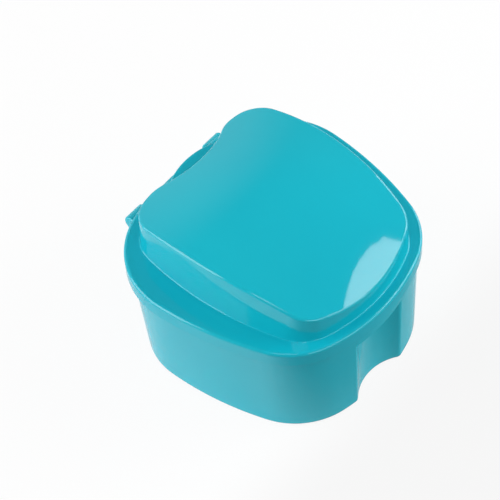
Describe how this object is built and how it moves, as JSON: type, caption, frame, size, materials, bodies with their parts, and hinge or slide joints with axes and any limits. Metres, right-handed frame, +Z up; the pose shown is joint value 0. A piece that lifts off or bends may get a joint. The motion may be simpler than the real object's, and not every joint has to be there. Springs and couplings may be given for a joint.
{
  "type": "denture case",
  "caption": "Rounded plastic denture case with a domed hinged lid, a thumb groove down the front, and a lift-out strainer basket with a folding handle.",
  "frame": {"origin": "on the underside of the tub, on its plane of symmetry, below the middle of the cavity", "axes": "+Z up out of the tub, +Y towards the hinge, -Y towards the thumb groove, +X to the right seen from the front"},
  "size_m": [0.0898, 0.0912, 0.0685],
  "materials": {
    "shell": "gloss teal polypropylene, injection moulded",
    "pin": "drawn stainless wire",
    "strainer": "satin natural white polypropylene"
  },
  "bodies": {
    "case": {"tub": "shell", "hinge_pin": "pin"},
    "lid": {"lid": "shell"},
    "basket": {"basket": "strainer"},
    "handle": {"basket_handle": "strainer"}
  },
  "joints": [
    {"name": "lid_hinge", "type": "hinge", "parent": "case", "child": "lid", "pos_m": [0, 0.0446, 0.0397], "axis": [-1, 0, 0], "range_deg": [0, 110]},
    {"name": "basket_lift", "type": "slide", "parent": "case", "child": "basket", "axis": [0, 0, 1], "range_m": [0, 0.003]},
    {"name": "handle_swing", "type": "hinge", "parent": "basket", "child": "handle", "pos_m": [0, 0.011, 0.0345], "axis": [1, 0, 0], "range_deg": [0, 90]}
  ]
}
